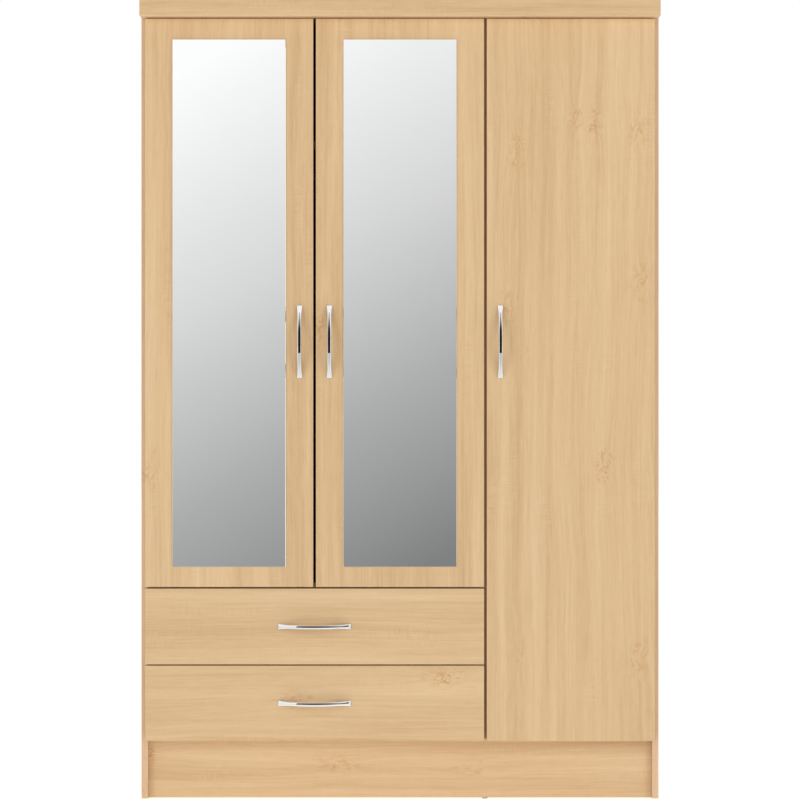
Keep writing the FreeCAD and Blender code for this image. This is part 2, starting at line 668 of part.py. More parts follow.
def oval(x0, x1, half, margin=0.0):
    """A tube blank on the rail's axis, with straight sides and round top and bottom."""
    half_y = half[0] - margin
    half_z = half[1] - margin
    rise = half_z - half_y
    middle = box(x0, x1, RAIL_Y - half_y, RAIL_Y + half_y, RAIL_Z - rise, RAIL_Z + rise)
    ends = [rod(half_y, (x0, RAIL_Y, RAIL_Z + s * rise), (x1, RAIL_Y, RAIL_Z + s * rise)) for s in (-1, 1)]
    return fused([middle] + ends)


def build_hanging_rail():
    x0 = -INNER_HALF + BRACKET_THICK
    x1 = DIVIDER_X0 - BRACKET_THICK
    save("hanging_rail", [oval(x0, x1, TUBE_HALF).cut(oval(x0 - 1, x1 + 1, TUBE_HALF, TUBE_WALL))])


def build_rail_brackets(holes, screws):
    flange = oval(0, BRACKET_THICK, FLANGE_HALF)
    collar = oval(0, COLLAR_REACH, COLLAR_HALF)
    socket = oval(BRACKET_THICK, COLLAR_REACH + 1, TUBE_HALF)
    flange_face = BRACKET_THICK
    pairs = [wood_screw((flange_face, RAIL_Y, RAIL_Z + s * FLANGE_SCREW_Z), (-1, 0, 0), FLANGE_SCREW_LENGTH)
             for s in (-1, 1)]
    bracket = drilled(fused([flange, collar]).cut(socket), [shank for _, shank in pairs])

    def at_panel(shape, left):
        copy = shape.copy() if left else shape.mirror(V(0, 0, 0), V(1, 0, 0))
        copy.translate(V(-INNER_HALF if left else DIVIDER_X0, 0, 0))
        return copy

    for left, panel in ((True, "left"), (False, "divider")):
        screws += [at_panel(screw, left) for screw, _ in pairs]
        holes[panel] += [at_panel(shank, left) for _, shank in pairs]
    save("rail_brackets", [at_panel(bracket, left) for left in (True, False)])


def build_wall_bracket(holes, screws):
    """An angle under the top, with a hole through the back panel for a wall screw."""
    x = WALL_BRACKET_X
    y1 = BOARD_BACK_Y
    hole_z = TOP_Z - WALL_HOLE_DROP
    back = box(x - BRACKET_HALF, x + BRACKET_HALF, y1 - BRACKET_THICK, y1, TOP_Z - BRACKET_LEG, TOP_Z)
    top = box(x - BRACKET_HALF, x + BRACKET_HALF, y1 - BRACKET_LEG, y1, TOP_Z - BRACKET_THICK, TOP_Z)
    hole = rod(WALL_HOLE_R, (x, y1 - BRACKET_THICK - 1, hole_z), (x, BACK_Y + 1, hole_z))
    head = (x, y1 - BRACKET_SCREW_Y, TOP_Z - BRACKET_THICK)
    screw, shank = wood_screw(head, (0, 0, 1), FLANGE_SCREW_LENGTH)
    screws.append(screw)
    holes["top"].append(shank)
    holes["back"].append(hole)
    save("wall_bracket", [drilled(fused([back, top]), [hole, shank])])


def build_floor_glides():
    side_x = BODY_HALF - BOARD / 2
    middle_x = (DIVIDER_X0 + DIVIDER_X1) / 2
    depths = (EDGE_Y + GLIDE_INSET, (EDGE_Y + BOARD_BACK_Y) / 2, BOARD_BACK_Y - GLIDE_INSET)
    spots = [(side * side_x, y) for side in (-1, 1) for y in depths]
    spots.append((middle_x, EDGE_Y + PLINTH_SETBACK + BOARD / 2))
    spots.append((middle_x, BOARD_BACK_Y - REAR_PLINTH_INSET - BOARD / 2))
    save("floor_glides", [rod(GLIDE_R, (x, y, 0), (x, y, GLIDE_HEIGHT)) for x, y in spots])


# ---- carcass boards -------------------------------------------------------
def level_board(x0, x1, setback, z):
    return box(x0, x1, EDGE_Y + setback, BOARD_BACK_Y, z, z + BOARD)


def build_standing_boards(holes):
    left = box(-BODY_HALF, -INNER_HALF, EDGE_Y, BOARD_BACK_Y, GLIDE_HEIGHT, TOP_Z)
    right = box(INNER_HALF, BODY_HALF, EDGE_Y, BOARD_BACK_Y, GLIDE_HEIGHT, TOP_Z)
    divider = box(DIVIDER_X0, DIVIDER_X1, EDGE_Y, BOARD_BACK_Y, BASE_TOP_Z, TOP_Z)
    save("side_panel_left", [drilled(left, holes["left"])])
    save("side_panel_right", [drilled(right, holes["right"])])
    save("divider_panel", [drilled(divider, holes["divider"])])
    for name, y in (("front", EDGE_Y + PLINTH_SETBACK), ("rear", BOARD_BACK_Y - REAR_PLINTH_INSET - BOARD)):
        save("plinth_" + name, [box(-INNER_HALF, INNER_HALF, y, y + BOARD, GLIDE_HEIGHT, BASE_BOARD_Z)])


def build_level_boards(holes):
    front = EDGE_Y - TOP_FRONT_OVERHANG
    top = rounded(box(-WIDTH / 2, WIDTH / 2, front, BACK_Y, TOP_Z, HEIGHT), EDGE_ROUND, at_y(front))
    save("top_panel", [drilled(top, holes["top"])])
    save("bottom_panel", [drilled(level_board(-INNER_HALF, INNER_HALF, 0, BASE_BOARD_Z), holes["base"])])
    save("drawer_deck", [drilled(level_board(-INNER_HALF, DIVIDER_X0, 0, DECK_Z), holes["deck"])])
    hat = level_board(-INNER_HALF, DIVIDER_X0, SHELF_SETBACK, HAT_SHELF_Z)
    save("hat_shelf", [drilled(hat, holes["hat"])])
    fixed = level_board(DIVIDER_X1, INNER_HALF, SHELF_SETBACK, FIXED_SHELF_Z)
    save("fixed_shelf", [drilled(fixed, holes["fixed"])])
    x0 = DIVIDER_X1 + SHELF_PLAY
    x1 = INNER_HALF - SHELF_PLAY
    save("adjustable_shelves", [level_board(x0, x1, SHELF_SETBACK, z) for z in LOOSE_SHELF_Z])


def build_back(holes):
    seam = (DIVIDER_X0 + DIVIDER_X1) / 2
    low = BASE_BOARD_Z - BACK_DROP
    edge = BODY_HALF - BACK_EDGE_INSET
    left = box(-edge, seam - BACK_SEAM, BOARD_BACK_Y, BACK_Y, low, TOP_Z)
    right = box(seam + BACK_SEAM, edge, BOARD_BACK_Y, BACK_Y, low, TOP_Z)
    save("back_panel_left", [drilled(left, holes["back"])])
    save("back_panel_right", [right])


def build_carcass():
    panels = ("left", "right", "divider", "top", "base", "deck", "hat", "fixed", "back")
    holes = {panel: [] for panel in panels}
    screws = []
    build_cams(holes)
    build_hinge_bases(holes, screws)
    build_cabinet_runners(holes, screws)
    build_rail_brackets(holes, screws)
    build_wall_bracket(holes, screws)
    build_pegs(holes)
    build_hanging_rail()
    build_floor_glides()
    build_standing_boards(holes)
    build_level_boards(holes)
    build_back(holes)
    save("carcass_screws", screws)


build_carcass()
build_door("door_left", LEFT_X0, LEFT_X1, DOOR_LOW_Z, LEFT_X1 - HANDLE_INSET, True)
build_door("door_middle", MIDDLE_X0, MIDDLE_X1, DOOR_LOW_Z, MIDDLE_X0 + HANDLE_INSET, True)
build_door("door_right", RIGHT_X0, RIGHT_X1, TALL_DOOR_LOW_Z, RIGHT_X0 + HANDLE_INSET, False)
for drawer in DRAWER_Z:
    build_drawer(drawer)
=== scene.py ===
import bpy, bmesh, json, math
from mathutils import Vector, Matrix

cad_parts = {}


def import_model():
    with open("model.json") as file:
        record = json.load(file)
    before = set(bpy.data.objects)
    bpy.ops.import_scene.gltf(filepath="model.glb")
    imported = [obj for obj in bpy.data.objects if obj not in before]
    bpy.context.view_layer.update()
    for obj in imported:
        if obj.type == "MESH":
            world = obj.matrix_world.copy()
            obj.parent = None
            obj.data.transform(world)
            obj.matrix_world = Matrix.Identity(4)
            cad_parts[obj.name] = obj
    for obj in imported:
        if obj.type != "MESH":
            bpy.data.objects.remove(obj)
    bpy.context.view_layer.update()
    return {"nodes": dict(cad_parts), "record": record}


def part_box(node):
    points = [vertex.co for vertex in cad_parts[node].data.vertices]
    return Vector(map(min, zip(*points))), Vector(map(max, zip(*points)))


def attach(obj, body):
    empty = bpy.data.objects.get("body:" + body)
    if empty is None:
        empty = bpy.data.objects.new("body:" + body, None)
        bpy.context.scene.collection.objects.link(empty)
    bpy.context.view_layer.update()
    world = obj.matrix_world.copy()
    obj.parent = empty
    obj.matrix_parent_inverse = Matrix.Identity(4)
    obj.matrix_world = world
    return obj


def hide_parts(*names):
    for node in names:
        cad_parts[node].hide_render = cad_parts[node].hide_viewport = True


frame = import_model()
RECORD = frame["record"]
SLOTS = {s["node"]: s["material_slot"] for s in RECORD["subparts"]}
BODY = {n: b for b, names in RECORD["behaviour"]["bodies"].items() for n in names}
MM = 0.001
EASE = 0.5 * MM                         # rounding of a sawn board's edges
BOARD_SEED = {}


# ---- node helpers ----------------------------------------------------------
class Nodes:
    """Small builder for a shader tree."""

    def __init__(self, name):
        self.mat = bpy.data.materials.new(name)
        self.mat.use_nodes = True
        self.tree = self.mat.node_tree
        self.tree.nodes.clear()
        self.bsdf = self.tree.nodes.new("ShaderNodeBsdfPrincipled")
        out = self.tree.nodes.new("ShaderNodeOutputMaterial")
        self.link(self.bsdf.outputs["BSDF"], out.inputs["Surface"])

    def link(self, a, b):
        self.tree.links.new(a, b)

    def put(self, socket, value):
        if isinstance(value, bpy.types.NodeSocket):
            self.link(value, socket)
        else:
            socket.default_value = value

    def math(self, op, a, b=0.0):
        n = self.tree.nodes.new("ShaderNodeMath")
        n.operation = op
        for s, v in zip(n.inputs, (a, b)):
            self.put(s, v)
        return n.outputs[0]

    def vmath(self, op, a, b=(0, 0, 0)):
        n = self.tree.nodes.new("ShaderNodeVectorMath")
        n.operation = op
        self.put(n.inputs[0], a)
        self.put(n.inputs[1], b)
        return n.outputs["Value"] if op in ("LENGTH", "DOT_PRODUCT") else n.outputs["Vector"]

    def attribute(self, name):
        n = self.tree.nodes.new("ShaderNodeAttribute")
        n.attribute_name = name
        return n

    def coords(self):
        return self.tree.nodes.new("ShaderNodeTexCoord").outputs["Object"]

    def split(self, v):
        n = self.tree.nodes.new("ShaderNodeSeparateXYZ")
        self.put(n.inputs[0], v)
        return n.outputs[0], n.outputs[1], n.outputs[2]

    def join(self, x, y, z):
        n = self.tree.nodes.new("ShaderNodeCombineXYZ")
        for s, v in zip(n.inputs, (x, y, z)):
            self.put(s, v)
        return n.outputs[0]

    def noise(self, v, scale, detail, rough):
        n = self.tree.nodes.new("ShaderNodeTexNoise")
        self.put(n.inputs["Vector"], v)
        n.inputs["Scale"].default_value = scale
        n.inputs["Detail"].default_value = detail
        n.inputs["Roughness"].default_value = rough
        return n.outputs["Fac"]

    def cells(self, v, randomness):
        """Scattered cells, one to each unit of v."""
        n = self.tree.nodes.new("ShaderNodeTexVoronoi")
        self.put(n.inputs["Vector"], v)
        n.inputs["Scale"].default_value = 1.0
        n.inputs["Randomness"].default_value = randomness
        return n

    def ramp(self, fac, stops, smooth=True):
        n = self.tree.nodes.new("ShaderNodeValToRGB")
        n.color_ramp.interpolation = "EASE" if smooth else "LINEAR"
        el = n.color_ramp.elements
        while len(el) < len(stops):
            el.new(0.5)
        for e, (pos, col) in zip(el, stops):
            e.position = pos
            e.color = (*col, 1.0)
        self.put(n.inputs[0], fac)
        return n.outputs[0]

    def level(self, fac, lo, hi, out_lo=0.0, out_hi=1.0, smooth=False):
        """fac mapped from lo...hi to out_lo...out_hi, and held there."""
        n = self.tree.nodes.new("ShaderNodeMapRange")
        n.interpolation_type = "SMOOTHSTEP" if smooth else "LINEAR"
        self.put(n.inputs[0], fac)
        for i, v in enumerate((lo, hi, out_lo, out_hi), 1):
            self.put(n.inputs[i], v)
        return n.outputs[0]

    def mix(self, fac, a, b, blend="MIX"):
        n = self.tree.nodes.new("ShaderNodeMix")
        n.data_type = "RGBA"
        n.blend_type = blend
        n.clamp_factor = True
        self.put(n.inputs[0], fac)
        for s, v in ((n.inputs[6], a), (n.inputs[7], b)):
            self.put(s, (*v, 1.0) if isinstance(v, tuple) else v)
        return n.outputs[2]

    def bump(self, height, distance, strength):
        n = self.tree.nodes.new("ShaderNodeBump")
        n.inputs["Distance"].default_value = distance
        n.inputs["Strength"].default_value = strength
        self.put(n.inputs["Height"], height)
        return n.outputs[0]

    def finish(self, **values):
        names = {"color": "Base Color", "rough": "Roughness", "metal": "Metallic", "normal": "Normal",
                 "spec": "Specular IOR Level"}
        for k, v in values.items():
            self.put(self.bsdf.inputs[names[k]], v)
        return self.mat


def srgb(r, g, b):
    """A colour given in 0...255 display values, as linear light."""
    def lin(c):
        c /= 255.0
        return c / 12.92 if c <= 0.04045 else ((c + 0.055) / 1.055) ** 2.4
    return lin(r), lin(g), lin(b)


# ---- materials -------------------------------------------------------------
KNOT_CELLS = (2.6, 7.0)                 # cells per metre, along and across the grain; about half have a knot
KNOT_SHAPE = (5.6, 4.2)                 # a larger figure makes the knot shorter or narrower in its cell
KNOT_TINT = (0.90, 0.67, 0.48)
GROWTH_LINES = 620.0                    # radians per metre across the grain
BROAD_SHARE, BAND_SHARE = 0.52, 0.48
STREAK_SHARE, FIBRE_SHARE, FLAME_SHARE, RIPPLE_SHARE, LINE_SHARE = 0.36, 0.26, 0.16, 0.34, 0.050


def oak(name, light, mid, dark, edge_tint, figure=1.0, rough=0.42):
    """Printed oak foil: u runs along the grain, v across it, w through the board, in metres."""
    m = Nodes(name)
    grain = m.attribute("grain").outputs["Vector"]
    edge = m.attribute("edge").outputs["Fac"]
    u, v, w = m.split(grain)

    def field(along, across, v_in=v, detail=2, roughness=0.5, layer=w):
        """Noise with the given number of waves per metre along and across the grain."""
        place = m.join(m.math("MULTIPLY", u, along), m.math("MULTIPLY", v_in, across), layer)
        return m.noise(place, 1.0, detail, roughness)

    def swing(value, amount):
        """A 0...1 value moved to both sides of zero."""
        return m.math("MULTIPLY", m.math("SUBTRACT", value, 0.5), amount)

    # knots: sparse cells, each a long soft spot in which the grain curls
    cell_place = m.join(m.math("MULTIPLY", u, KNOT_CELLS[0]), m.math("MULTIPLY", v, KNOT_CELLS[1]), 0.0)
    cell = m.cells(cell_place, 0.85)
    du, dv, _ = m.split(m.vmath("SUBTRACT", cell_place, cell.outputs["Position"]))
    pick, strength, _ = m.split(cell.outputs["Color"])
    present = m.math("MULTIPLY", m.level(pick, 0.52, 0.56), m.level(strength, 0, 1, 0.5, 1.0))
    ragged = swing(field(30.0, 42.0), 0.9)
    radius = m.vmath("LENGTH", m.join(m.math("MULTIPLY", du, KNOT_SHAPE[0]),
                                      m.math("MULTIPLY", dv, KNOT_SHAPE[1]), 0.0))
    near = m.math("MULTIPLY", m.level(m.math("ADD", radius, ragged), 1.0, 0.1, 0, 1, True), present)
    curl = m.math("MULTIPLY", near, swing(field(34.0, 46.0, layer=4.0), 0.060))
    part = m.math("MULTIPLY", m.math("MULTIPLY", m.level(radius, 2.2, 0.0, 0, 1, True), present),
                  m.math("MULTIPLY", m.math("SIGN", dv), 0.009))

    # the grain wanders, and parts around the knots
    bend = m.math("ADD", swing(field(0.9, 3.0), 0.060), swing(field(9.0, 14.0), 0.004))
    flow = m.math("ADD", m.math("ADD", v, bend), m.math("ADD", part, curl))

    # the grain itself, from wide bands to single fibres
    broad = field(0.55, 15.0, flow)
    bands = field(1.3, 46.0, flow, 3, 0.55)
    streak = field(5.0, 260.0, flow, 3, 0.6)
    fibre = field(26.0, 1100.0, flow, 2, 0.6)

    # growth lines: thin curved lines that close into arches where the grain wanders
    phase = m.math("MULTIPLY", m.math("ADD", flow, swing(broad, 0.06)), GROWTH_LINES)
    lines = m.math("POWER", m.level(m.math("SINE", phase), -1, 1), 3.0)
    line_mask = m.math("MULTIPLY", lines, m.level(field(2.2, 5.0, layer=7.0), 0.45, 0.70, 0, 1, True))

    # cross figure: faint ripples over the grain, in patches
    ripple_mask = m.level(field(4.0, 16.0, detail=1, layer=3.0), 0.54, 0.76, 0, 1, True)
    ripple = m.math("MULTIPLY", swing(field(210.0, 34.0), 1.0), ripple_mask)

    flame = field(22.0, 90.0, flow, 3, 0.6, 6.0)
    tone = m.math("ADD", m.math("MULTIPLY", broad, BROAD_SHARE), m.math("MULTIPLY", bands, BAND_SHARE))
    tone = m.math("ADD", tone, swing(streak, STREAK_SHARE))
    tone = m.math("ADD", tone, swing(fibre, FIBRE_SHARE))
    tone = m.math("ADD", tone, swing(flame, FLAME_SHARE))
    tone = m.math("ADD", tone, m.math("MULTIPLY", ripple, RIPPLE_SHARE * figure))
    tone = m.math("SUBTRACT", tone, m.math("MULTIPLY", line_mask, LINE_SHARE * figure))
    colour = m.ramp(tone, [(0.30, dark), (0.50, mid), (0.70, light)], False)

    # warmer and darker strokes in the knots, and short flecks elsewhere
    knot_tone = tuple(c * k for c, k in zip(dark, KNOT_TINT))
    wander = m.math("MULTIPLY", near, swing(field(40.0, 55.0, layer=13.0), 0.045))
    curly = m.join(m.math("MULTIPLY", m.math("ADD", u, wander), 48.0),
                   m.math("MULTIPLY", m.math("ADD", flow, wander), 190.0), 9.0)
    strokes = m.level(m.noise(curly, 1.0, 2, 0.55), 0.50, 0.62, 0, 1, True)
    colour = m.mix(m.math("MULTIPLY", m.math("MULTIPLY", strokes, near), 0.72 * figure), colour, knot_tone)
    fleck_zone = m.level(field(3.0, 12.0, detail=1, layer=11.0), 0.55, 0.75, 0, 1, True)
    flecks = m.level(field(24.0, 330.0, flow, 1, 0.5, 5.0), 0.60, 0.70, 0, 1, True)
    flecks = m.math("MULTIPLY", flecks, fleck_zone)
    colour = m.mix(m.math("MULTIPLY", flecks, 0.16 * figure), colour, knot_tone)

    # pores, and the tint of the edging band
    pore = m.level(field(60.0, 1700.0, flow, 1), 0.63, 0.74, 0, 1, True)
    colour = m.mix(m.math("MULTIPLY", pore, 0.16), colour, tuple(c * 0.62 for c in dark))
    colour = m.mix(m.math("MULTIPLY", edge, 0.9), colour, m.mix(1.0, colour, edge_tint, "MULTIPLY"))

    gloss = m.math("ADD", m.math("ADD", swing(streak, 0.10), rough), m.math("MULTIPLY", pore, 0.10))
    height = m.math("SUBTRACT", m.math("MULTIPLY", fibre, 0.35), pore)
    return m.finish(color=colour, rough=gloss, normal=m.bump(height, 0.00012, 0.35), spec=0.32)


def metal(name, tint, rough, spread, bump=0.0):
    """Plated or polished metal: faint cloudiness and fine rubbing marks, in its colour and its gloss."""
    m = Nodes(name)
    p = m.coords()
    cloud = m.noise(p, 22.0, 3, 0.6)
    fine = m.noise(p, 900.0, 2, 0.5)
    colour = m.ramp(cloud, [(0.30, tuple(c * 0.93 for c in tint)), (0.72, tint)])
    r = m.math("ADD", rough, m.math("MULTIPLY", m.math("SUBTRACT", cloud, 0.5), spread))
    r = m.math("ADD", r, m.math("MULTIPLY", m.math("SUBTRACT", fine, 0.5), spread))
    values = {"color": colour, "rough": m.math("MAXIMUM", r, 0.02), "metal": 1.0}
    if bump:
        values["normal"] = m.bump(fine, bump, 0.5)
    return m.finish(**values)


def mirror_silver():
    """Silvered glass, with a little haze and the smears of wiping."""
    m = Nodes("mirror_silver")
    p = m.coords()
    haze = m.noise(p, 3.5, 4, 0.6)
    smear = m.noise(m.vmath("MULTIPLY", p, (14.0, 1.0, 5.0)), 1.0, 3, 0.6)
    colour = m.ramp(haze, [(0.3, (0.925, 0.935, 0.935)), (0.7, (0.94, 0.945, 0.945))])
    rough = m.level(smear, 0.45, 0.8, 0.004, 0.018, True)
    return m.finish(color=colour, rough=rough, metal=1.0)


def glass_edge():
    """The ground edge of the mirrors."""
    m = Nodes("mirror_edge")
    n = m.noise(m.coords(), 60.0, 3, 0.5)
    colour = m.ramp(n, [(0.3, srgb(196, 202, 198)), (0.7, srgb(222, 226, 223))])
    return m.finish(color=colour, rough=0.12, spec=0.6)


def hardboard(name, base):
    """Thin fibre board: fine flock, faint clouds and the press's weave."""
    m = Nodes(name)
    g = m.attribute("grain").outputs["Vector"]
    u, v, w = m.split(g)
    flock = m.noise(g, 420.0, 3, 0.65)
    cloud = m.noise(g, 7.0, 3, 0.5)
    weave = m.noise(m.join(m.math("MULTIPLY", u, 900.0), m.math("MULTIPLY", v, 900.0), w), 1.0, 1, 0.5)
    t = m.math("ADD", m.math("MULTIPLY", flock, 0.86), m.math("MULTIPLY", cloud, 0.14))
    low, high = tuple(c * 0.86 for c in base), tuple(c * 1.07 for c in base)
    colour = m.ramp(t, [(0.32, low), (0.68, high)])
    height = m.math("ADD", m.math("MULTIPLY", flock, 0.5), m.math("MULTIPLY", weave, 0.5))
    return m.finish(color=colour, rough=m.level(flock, 0.3, 0.7, 0.62, 0.78),
                    normal=m.bump(height, 0.0002, 0.4), spec=0.25)


def plastic(name, base, rough):
    """Moulded plastic with a fine grain."""
    m = Nodes(name)
    p = m.coords()
    grain = m.noise(p, 1500.0, 2, 0.5)
    cloud = m.noise(p, 35.0, 3, 0.5)
    colour = m.ramp(cloud, [(0.3, tuple(c * 0.92 for c in base)), (0.7, base)])
    return m.finish(color=colour, rough=m.level(cloud, 0.3, 0.7, rough - 0.04, rough + 0.05),
                    normal=m.bump(grain, 0.00008, 0.3), spec=0.45)


def enamel(name, base):
    """Powder-coated steel with a faint orange peel."""
    m = Nodes(name)
    p = m.coords()
    peel = m.noise(p, 260.0, 2, 0.5)
    cloud = m.noise(p, 18.0, 3, 0.5)
    colour = m.ramp(cloud, [(0.3, tuple(c * 0.95 for c in base)), (0.7, base)])
    return m.finish(color=colour, rough=m.level(cloud, 0.3, 0.7, 0.26, 0.34),
                    normal=m.bump(peel, 0.00006, 0.4), spec=0.5)


LIGHT = srgb(226, 195, 153)
MID = srgb(217, 184, 140)
DARK = srgb(204, 168, 124)
EDGE_TINT = (0.84, 0.70, 0.70)
SIDE_EDGE_TINT = (1.06, 1.07, 1.22)     # the side panels' edging is paler and pinker than the others'
MATS = {
    "oak_front": oak("oak_front", LIGHT, MID, DARK, EDGE_TINT),
    "oak_board": oak("oak_board", LIGHT, MID, DARK, EDGE_TINT),
    "oak_side": oak("oak_side", LIGHT, MID, DARK, SIDE_EDGE_TINT),
    "drawer_board": oak("drawer_board", srgb(228, 204, 170), srgb(219, 193, 156), srgb(206, 178, 140),
                        (0.92, 0.88, 0.86), 0.5, 0.5),
    "hardboard": hardboard("hardboard", srgb(196, 170, 138)),
    "mirror_glass": mirror_silver(),
    "handle_chrome": metal("handle_chrome", (0.90, 0.91, 0.92), 0.045, 0.03),
    "rail_chrome": metal("rail_chrome", (0.84, 0.85, 0.86), 0.10, 0.05),
    "hinge_steel": metal("hinge_steel", (0.70, 0.69, 0.66), 0.24, 0.10),
    "screw_steel": metal("screw_steel", (0.68, 0.67, 0.63), 0.30, 0.12),
    "cam_zinc": metal("cam_zinc", (0.60, 0.60, 0.60), 0.42, 0.14, bump=0.0001),
    "bracket_steel": metal("bracket_steel", (0.66, 0.67, 0.68), 0.30, 0.12),
    "runner_enamel": enamel("runner_enamel", srgb(232, 232, 226)),
    "roller_nylon": plastic("roller_nylon", srgb(226, 226, 220), 0.38),
    "plastic_fittings": plastic("plastic_fittings", srgb(176, 160, 138), 0.45),
}
EDGE_GLASS = glass_edge()


# ---- mesh helpers ----------------------------------------------------------
def add_object(name, data):
    obj = bpy.data.objects.new(name, data)
    bpy.context.scene.collection.objects.link(obj)
    return obj


def place_piece(obj, node):
    """Puts a piece in its CAD node's place, on the node's body."""
    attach(obj, BODY[node])
    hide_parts(node)


def box_mesh(lo, hi, bevel, segments=2, pick=None):
    """A box with its edges eased, or only those that pick chooses."""
    bm = bmesh.new()
    bmesh.ops.create_cube(bm, size=1.0)
    size = [h - l for l, h in zip(lo, hi)]
    for v in bm.verts:
        v.co = Vector([l + (c + 0.5) * s for l, c, s in zip(lo, v.co, size)])
    edges = [e for e in bm.edges if pick is None or pick(e)]
    bmesh.ops.bevel(bm, geom=edges, offset=bevel, segments=segments, profile=0.5, affect="EDGES")
    return bm


def cylinder(bm, radius, start, end):
    a, b = Vector(start), Vector(end)
    d = b - a
    turn = d.to_track_quat("Z", "Y").to_matrix().to_4x4()
    bmesh.ops.create_cone(bm, cap_ends=True, segments=48, radius1=radius, radius2=radius,
                          depth=d.length, matrix=Matrix.Translation((a + b) / 2) @ turn)


def cut(bm, cutters):
    """Subtract every cutter mesh from bm and give back a mesh."""
    base = bpy.data.meshes.new("base")
    bm.to_mesh(base)
    bm.free()
    if cutters is None:
        return base
    tool = bpy.data.meshes.new("tool")
    cutters.to_mesh(tool)
    cutters.free()
    a = add_object("cut_base", base)
    b = add_object("cut_tool", tool)
    mod = a.modifiers.new("cut", "BOOLEAN")
    mod.operation = "DIFFERENCE"
    mod.solver = "EXACT"
    mod.use_self = False
    mod.object = b
    result = bpy.data.meshes.new_from_object(a.evaluated_get(bpy.context.evaluated_depsgraph_get()))
    for o, me in ((a, base), (b, tool)):
        bpy.data.objects.remove(o)
        bpy.data.meshes.remove(me)
    return result


def islands(node):
    """Boxes of the separate solids inside a CAD node, lowest first."""
    bm = bmesh.new()
    bm.from_mesh(frame["nodes"][node].data)
    bmesh.ops.remove_doubles(bm, verts=bm.verts, dist=1e-6)
    seen, out = set(), []
    for v in bm.verts:
        if v in seen:
            continue
        stack, found = [v], []
        seen.add(v)
        while stack:
            p = stack.pop()
            found.append(p.co)
            for e in p.link_edges:
                q = e.other_vert(p)
                if q not in seen:
                    seen.add(q)
                    stack.append(q)
        lo = Vector([min(c[i] for c in found) for i in range(3)])
        hi = Vector([max(c[i] for c in found) for i in range(3)])
        out.append((lo, hi))
    bm.free()
    return sorted(out, key=lambda b: (round(b[0].z, 4), round(b[0].x, 4), round(b[0].y, 4)))


def set_grain(mesh, grain_axis, thin_axis, seed, edged=True):
    """Corner attributes: the foil's own coordinates, and 1 on the board's edges."""
    across = 3 - grain_axis - thin_axis
    shift = Vector((seed * 0.737 + 0.31, seed * 0.531 + 0.17, seed * 0.293))
    mesh.attributes.new("grain", "FLOAT_VECTOR", "CORNER")
    mesh.attributes.new("edge", "FLOAT", "CORNER")
    vectors = [0.0] * (3 * len(mesh.loops))
    masks = [0.0] * len(mesh.loops)
    order_of = {thin_axis: (grain_axis, across, thin_axis), across: (grain_axis, thin_axis, across),
                grain_axis: (across, thin_axis, grain_axis)}
    for poly in mesh.polygons:
        n = [abs(c) for c in poly.normal]
        main = thin_axis if n[thin_axis] > 0.35 else n.index(max(n))
        order = order_of[main]
        is_edge = 1.0 if edged and main != thin_axis else 0.0
        for li in poly.loop_indices:
            co = mesh.vertices[mesh.loops[li].vertex_index].co
            p = [co[i] for i in order]
            vectors[3 * li:3 * li + 3] = [p[0] + shift[0], p[1] + shift[1], p[2] * 0.3 + shift[2]]
            masks[li] = is_edge
    mesh.attributes["grain"].data.foreach_set("vector", vectors)
    mesh.attributes["edge"].data.foreach_set("value", masks)


def board(node, grain_axis, bevel=EASE, segments=2, cutters=None, edged=True, look=None):
    """A board in place of a CAD node, with eased edges and the grain along one axis."""
    lo, hi = (Vector(p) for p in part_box(node))
    size = hi - lo
    thin_axis = list(size).index(min(size))
    mesh = cut(box_mesh(lo, hi, bevel, segments), cutters)
    mesh.name = node
    BOARD_SEED[node] = len(BOARD_SEED) + 1
    set_grain(mesh, grain_axis, thin_axis, BOARD_SEED[node], edged)
    mesh.materials.clear()
    mesh.materials.append(MATS[look or SLOTS[node]])
    place_piece(add_object("foil_" + node, mesh), node)


# ---- carcass and fronts ----------------------------------------------------
CUT_OVER = 1 * MM                       # how far a cutter reaches out of the board
CAM_RADIUS = 7.5 * MM
PEG_RADIUS = 2.5 * MM
PEG_DEPTH = 8 * MM
PEG_FLAT_HEIGHT = 7.5 * MM              # a peg lower than this has its shank against its top
PEG_PITCH = 32 * MM
CUP_RADIUS = 17.5 * MM
CUP_INSET = 19.5 * MM                   # from the cup flange's inner edge to the bore's axis
CUP_DEPTH = 12.5 * MM
FRONT_EASE = 1.1 * MM
TOP_EASE = 1.3 * MM


def cylinders(specs):
    """Cutters for (radius, start, end) holes, or None if there are none."""
    if not specs:
        return None
    bm = bmesh.new()
    for radius, a, b in specs:
        cylinder(bm, radius, a, b)
    return bm


def inside(lo, hi, node):
    """True if the box from lo to hi reaches more than half a millimetre into the node's box."""
    a, b = (Vector(p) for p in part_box(node))
    return all(lo[i] < b[i] - 0.5 * MM and hi[i] > a[i] + 0.5 * MM for i in range(3))


CAMS = islands("cam_locks")
PEGS = islands("shelf_pegs")


def cam_cutters(node):
    """Recesses for the cam discs that sit in this board."""
    out = []
    board_lo, board_hi = (Vector(p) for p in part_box(node))
    for lo, hi in CAMS:
        if not inside(lo, hi, node):
            continue
        size = hi - lo
        axis = list(size).index(min(size))
        start = (lo + hi) / 2
        end = start.copy()
        start[axis] = lo[axis] - CUT_OVER
        end[axis] = hi[axis] + CUT_OVER
        if lo[axis] - board_lo[axis] > board_hi[axis] - hi[axis]:
            start[axis] = lo[axis]
        else:
            end[axis] = hi[axis]
        out.append((CAM_RADIUS, start, end))
    return out


